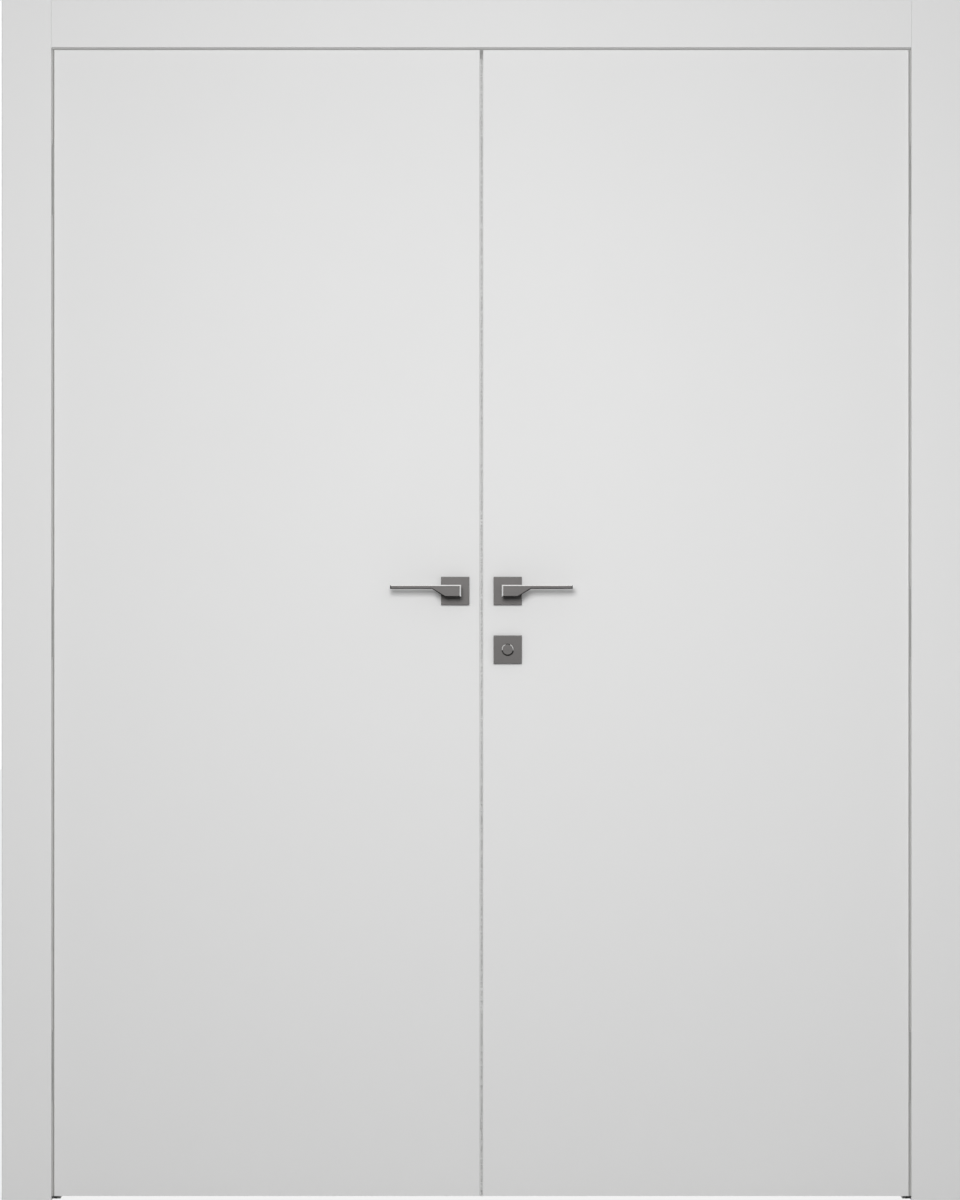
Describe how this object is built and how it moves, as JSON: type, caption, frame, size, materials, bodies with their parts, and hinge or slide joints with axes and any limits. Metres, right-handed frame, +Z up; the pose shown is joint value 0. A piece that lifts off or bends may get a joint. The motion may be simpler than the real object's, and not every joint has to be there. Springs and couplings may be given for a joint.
{
  "type": "double closet door with frame",
  "caption": "Pair of flush white hinged closet doors in a rebated cased frame, with concealed hinges, flat levers on square rosettes, a lock turn and flush bolts.",
  "frame": {"origin": "on the floor, at the middle of the whole unit's width and depth", "axes": "+Z up, +X to the right seen from the room, -Y towards the room into which the leaves open"},
  "size_m": [1.7, 0.181, 2.128],
  "materials": {
    "white_lacquer": "satin white lacquer on engineered board",
    "seal_rubber": "matt light grey extruded seal",
    "zinc": "satin zinc casting",
    "steel": "bright zinc plated steel",
    "satin_plate": "satin brushed plate",
    "graphite": "satin graphite finish on a zinc casting",
    "magnet": "dull grey magnet"
  },
  "bodies": {
    "frame": {"left_jamb": "white_lacquer", "right_jamb": "white_lacquer", "head_jamb": "white_lacquer", "left_seal": "seal_rubber", "right_seal": "seal_rubber", "head_seal": "seal_rubber", "front_left_casing": "white_lacquer", "front_right_casing": "white_lacquer", "front_head_casing": "white_lacquer", "rear_left_casing": "white_lacquer", "rear_right_casing": "white_lacquer", "rear_head_casing": "white_lacquer", "left_frame_cups": "zinc", "right_frame_cups": "zinc", "frame_hinge_pins": "steel", "frame_screws": "steel", "bolt_keeper": "satin_plate"},
    "left_leaf": {"left_leaf": "white_lacquer", "left_leaf_cups": "zinc", "left_hinge_pins": "steel", "left_leaf_screws": "steel", "strike_plate": "satin_plate", "strike_magnet": "magnet", "top_flush_plate": "satin_plate", "bottom_flush_plate": "satin_plate", "left_front_rosette": "graphite", "left_rear_rosette": "graphite", "left_rosette_bases": "zinc", "left_rosette_screws": "steel"},
    "right_leaf": {"right_leaf": "white_lacquer", "right_leaf_cups": "zinc", "right_hinge_pins": "steel", "right_leaf_screws": "steel", "lock_case": "zinc", "lock_faceplate": "satin_plate", "right_front_rosette": "graphite", "right_rear_rosette": "graphite", "turn_front_rosette": "graphite", "turn_rear_rosette": "graphite", "right_rosette_bases": "zinc", "right_rosette_screws": "steel"},
    "left_frame_arms": {"left_frame_arms": "zinc"},
    "left_leaf_arms": {"left_leaf_arms": "zinc"},
    "right_frame_arms": {"right_frame_arms": "zinc"},
    "right_leaf_arms": {"right_leaf_arms": "zinc"},
    "left_levers": {"left_front_lever": "graphite", "left_rear_lever": "graphite", "left_spindle": "steel"},
    "right_levers": {"right_front_lever": "graphite", "right_rear_lever": "graphite", "right_spindle": "steel", "lock_follower": "steel"},
    "latch": {"latch_bolt": "steel"},
    "turn": {"front_turn": "graphite", "rear_release": "graphite", "turn_crank": "steel"},
    "dead_bolt": {"dead_bolt": "steel"},
    "top_flush_bolt": {"top_flush_bolt": "steel"},
    "bottom_flush_bolt": {"bottom_flush_bolt": "steel"}
  },
  "joints": [
    {"name": "left_leaf_swing", "type": "hinge", "parent": "frame", "child": "left_leaf", "pos_m": [-0.76, -0.0435, 1], "axis": [0, 0, -1], "range_deg": [0, 105]},
    {"name": "right_leaf_swing", "type": "hinge", "parent": "frame", "child": "right_leaf", "pos_m": [0.76, -0.0435, 1], "axis": [0, 0, 1], "range_deg": [0, 105]},
    {"name": "left_frame_arm_turn", "type": "hinge", "parent": "frame", "child": "left_frame_arms", "pos_m": [-0.77, -0.025, 1], "axis": [0, 0, -1], "range_deg": [0, 105]},
    {"name": "left_leaf_arm_turn", "type": "hinge", "parent": "left_leaf", "child": "left_leaf_arms", "pos_m": [-0.75, -0.025, 1], "axis": [0, 0, -1], "range_deg": [-105, 0]},
    {"name": "right_frame_arm_turn", "type": "hinge", "parent": "frame", "child": "right_frame_arms", "pos_m": [0.77, -0.025, 1], "axis": [0, 0, 1], "range_deg": [0, 105]},
    {"name": "right_leaf_arm_turn", "type": "hinge", "parent": "right_leaf", "child": "right_leaf_arms", "pos_m": [0.75, -0.025, 1], "axis": [0, 0, 1], "range_deg": [-105, 0]},
    {"name": "left_lever_turn", "type": "hinge", "parent": "left_leaf", "child": "left_levers", "pos_m": [-0.0465, -0.0155, 1.08], "axis": [0, -1, 0], "range_deg": [0, 42], "stiffness_Nm_per_rad": 1.2, "springref_deg": -28.65},
    {"name": "right_lever_turn", "type": "hinge", "parent": "right_leaf", "child": "right_levers", "pos_m": [0.0465, -0.0155, 1.08], "axis": [0, 1, 0], "range_deg": [0, 42], "stiffness_Nm_per_rad": 1.2, "springref_deg": -28.65},
    {"name": "latch_slide", "type": "slide", "parent": "right_leaf", "child": "latch", "axis": [-1, 0, 0], "range_m": [0, 0.011], "stiffness_N_per_m": 40, "springref_m": -0.005},
    {"name": "turn_turn", "type": "hinge", "parent": "right_leaf", "child": "turn", "pos_m": [0.0465, -0.0155, 0.976], "axis": [0, -1, 0], "range_deg": [0, 90]},
    {"name": "dead_bolt_slide", "type": "slide", "parent": "right_leaf", "child": "dead_bolt", "axis": [-1, 0, 0], "range_m": [0, 0.012]},
    {"name": "top_flush_bolt_slide", "type": "slide", "parent": "left_leaf", "child": "top_flush_bolt", "axis": [0, 0, 1], "range_m": [0, 0.014]},
    {"name": "bottom_flush_bolt_slide", "type": "slide", "parent": "left_leaf", "child": "bottom_flush_bolt", "axis": [0, 0, -1], "range_m": [0, 0.014]}
  ],
  "couplings": [
    {"joint": "left_frame_arm_turn", "follows": "left_leaf_swing", "ratio": 1},
    {"joint": "left_leaf_arm_turn", "follows": "left_leaf_swing", "ratio": -1},
    {"joint": "right_frame_arm_turn", "follows": "right_leaf_swing", "ratio": 1},
    {"joint": "right_leaf_arm_turn", "follows": "right_leaf_swing", "ratio": -1},
    {"joint": "turn_turn", "follows": "dead_bolt_slide", "rad_per_m": 130.9}
  ]
}
